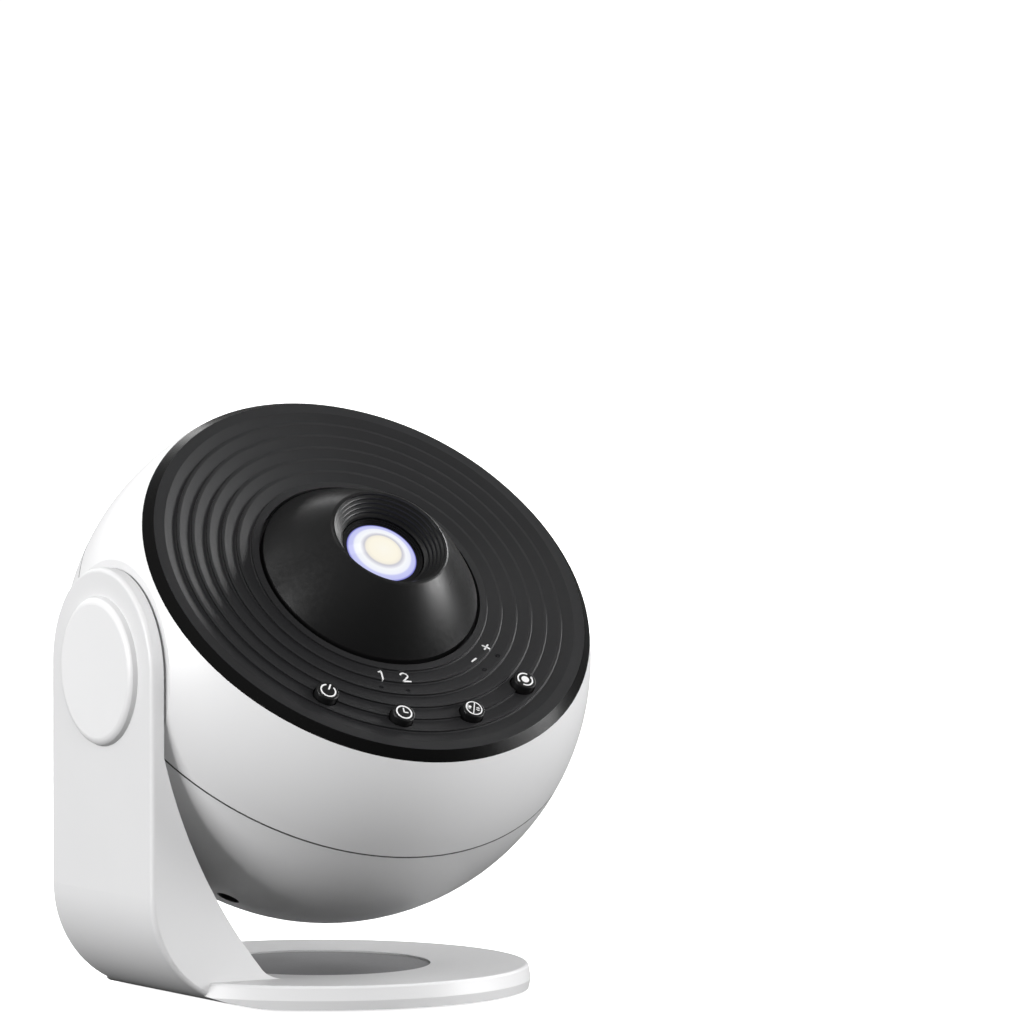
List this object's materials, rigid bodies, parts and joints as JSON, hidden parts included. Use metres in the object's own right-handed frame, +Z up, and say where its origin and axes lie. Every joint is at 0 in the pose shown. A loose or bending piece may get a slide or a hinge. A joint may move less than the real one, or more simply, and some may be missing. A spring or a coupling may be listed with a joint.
{
  "type": "planetarium projector",
  "caption": "Ball-shaped star and galaxy projector with a ringed face, focusing dome and push buttons, tilting on a one-armed stand with a round base.",
  "frame": {"origin": "on the standing surface, straight below the centre of the ball, which is on the tilt axis", "axes": "+Z up; the arm is on the -X side and the tilt axis runs along X; the face looks towards -Y and up"},
  "size_m": [0.1351, 0.1317, 0.1482],
  "materials": {
    "stand_shell": "satin white moulded plastic",
    "base_cover": "matt white plastic",
    "base_weight": "zinc-plated steel",
    "non_slip_pad": "matt rubber",
    "recess_pad": "matt grey foam rubber",
    "base_screws": "zinc-plated steel",
    "pivot_cap": "satin white moulded plastic",
    "friction_washer": "natural nylon",
    "pivot_spring": "zinc-plated steel",
    "front_shell": "satin white moulded plastic",
    "rear_shell": "satin white moulded plastic",
    "face_panel": "fine-grained black plastic",
    "pivot_hub": "satin white moulded plastic",
    "pivot_retainer": "zinc-plated steel",
    "pivot_screw": "zinc-plated steel",
    "hub_screws": "zinc-plated steel",
    "shell_screws": "zinc-plated steel",
    "panel_screws": "zinc-plated steel",
    "optics_housing": "matt black glass-filled plastic",
    "housing_screws": "zinc-plated steel",
    "lens_guide": "matt black glass-filled plastic",
    "condenser_lens": "clear optical glass",
    "led_emitter": "phosphor under clear resin",
    "led_board": "machined aluminium",
    "heat_sink": "machined aluminium",
    "heat_sink_screws": "zinc-plated steel",
    "drive_motor": "zinc-plated steel",
    "motor_screws": "zinc-plated steel",
    "button_board": "green circuit board",
    "button_board_screws": "zinc-plated steel",
    "tactile_switches": "matt black glass-filled plastic",
    "indicator_lights": "smoked clear plastic",
    "main_board": "green circuit board",
    "board_components": "matt black glass-filled plastic",
    "main_board_screws": "zinc-plated steel",
    "power_socket": "matt black glass-filled plastic",
    "focus_dome": "glossy black plastic",
    "lens_barrel": "matt black glass-filled plastic",
    "front_lens": "clear optical glass",
    "rear_lens": "clear optical glass",
    "film_carrier": "natural acetal",
    "film_disc": "printed clear film",
    "drive_pinion": "natural acetal",
    "motor_shaft": "zinc-plated steel",
    "power_button": "fine-grained black plastic",
    "timer_button": "fine-grained black plastic",
    "speed_button": "fine-grained black plastic",
    "rotation_button": "fine-grained black plastic"
  },
  "bodies": {
    "stand": {"stand_shell": "stand_shell", "base_cover": "base_cover", "base_weight": "base_weight", "non_slip_pad": "non_slip_pad", "recess_pad": "recess_pad", "base_screws": "base_screws", "pivot_cap": "pivot_cap", "friction_washer": "friction_washer", "pivot_spring": "pivot_spring"},
    "head": {"front_shell": "front_shell", "rear_shell": "rear_shell", "face_panel": "face_panel", "pivot_hub": "pivot_hub", "pivot_retainer": "pivot_retainer", "pivot_screw": "pivot_screw", "hub_screws": "hub_screws", "shell_screws": "shell_screws", "panel_screws": "panel_screws", "optics_housing": "optics_housing", "housing_screws": "housing_screws", "lens_guide": "lens_guide", "condenser_lens": "condenser_lens", "led_emitter": "led_emitter", "led_board": "led_board", "heat_sink": "heat_sink", "heat_sink_screws": "heat_sink_screws", "drive_motor": "drive_motor", "motor_screws": "motor_screws", "button_board": "button_board", "button_board_screws": "button_board_screws", "tactile_switches": "tactile_switches", "indicator_lights": "indicator_lights", "main_board": "main_board", "board_components": "board_components", "main_board_screws": "main_board_screws", "power_socket": "power_socket"},
    "focus": {"focus_dome": "focus_dome"},
    "lens": {"lens_barrel": "lens_barrel", "front_lens": "front_lens", "rear_lens": "rear_lens"},
    "film": {"film_carrier": "film_carrier", "film_disc": "film_disc"},
    "pinion": {"drive_pinion": "drive_pinion", "motor_shaft": "motor_shaft"},
    "power_key": {"power_button": "power_button"},
    "timer_key": {"timer_button": "timer_button"},
    "speed_key": {"speed_button": "speed_button"},
    "rotation_key": {"rotation_button": "rotation_button"}
  },
  "joints": [
    {"name": "head_tilt", "type": "hinge", "parent": "stand", "child": "head", "pos_m": [0, 0, 0.0846], "axis": [1, 0, 0], "continuous": true},
    {"name": "focus_turn", "type": "hinge", "parent": "head", "child": "focus", "pos_m": [0, 0, 0.0846], "axis": [0, -0.6972, 0.7169], "range_deg": [-100, 100]},
    {"name": "lens_travel", "type": "slide", "parent": "head", "child": "lens", "axis": [0, -0.6972, 0.7169], "range_m": [-0.0015, 0.0015]},
    {"name": "film_spin", "type": "hinge", "parent": "head", "child": "film", "pos_m": [0, 0, 0.0846], "axis": [0, -0.6972, 0.7169], "continuous": true},
    {"name": "pinion_spin", "type": "hinge", "parent": "head", "child": "pinion", "pos_m": [0, 0.02237, 0.10635], "axis": [0, -0.6972, 0.7169], "continuous": true},
    {"name": "power_press", "type": "slide", "parent": "head", "child": "power_key", "axis": [0, 0.6972, -0.7169], "range_m": [0, 0.0006], "stiffness_N_per_m": 2500, "springref_m": -0.0002},
    {"name": "timer_press", "type": "slide", "parent": "head", "child": "timer_key", "axis": [0, 0.6972, -0.7169], "range_m": [0, 0.0006], "stiffness_N_per_m": 2500, "springref_m": -0.0002},
    {"name": "speed_press", "type": "slide", "parent": "head", "child": "speed_key", "axis": [0, 0.6972, -0.7169], "range_m": [0, 0.0006], "stiffness_N_per_m": 2500, "springref_m": -0.0002},
    {"name": "rotation_press", "type": "slide", "parent": "head", "child": "rotation_key", "axis": [0, 0.6972, -0.7169], "range_m": [0, 0.0006], "stiffness_N_per_m": 2500, "springref_m": -0.0002}
  ],
  "couplings": [
    {"joint": "lens_travel", "follows": "focus_turn", "m_per_rad": 0.00085},
    {"joint": "pinion_spin", "follows": "film_spin", "ratio": -5.5}
  ]
}
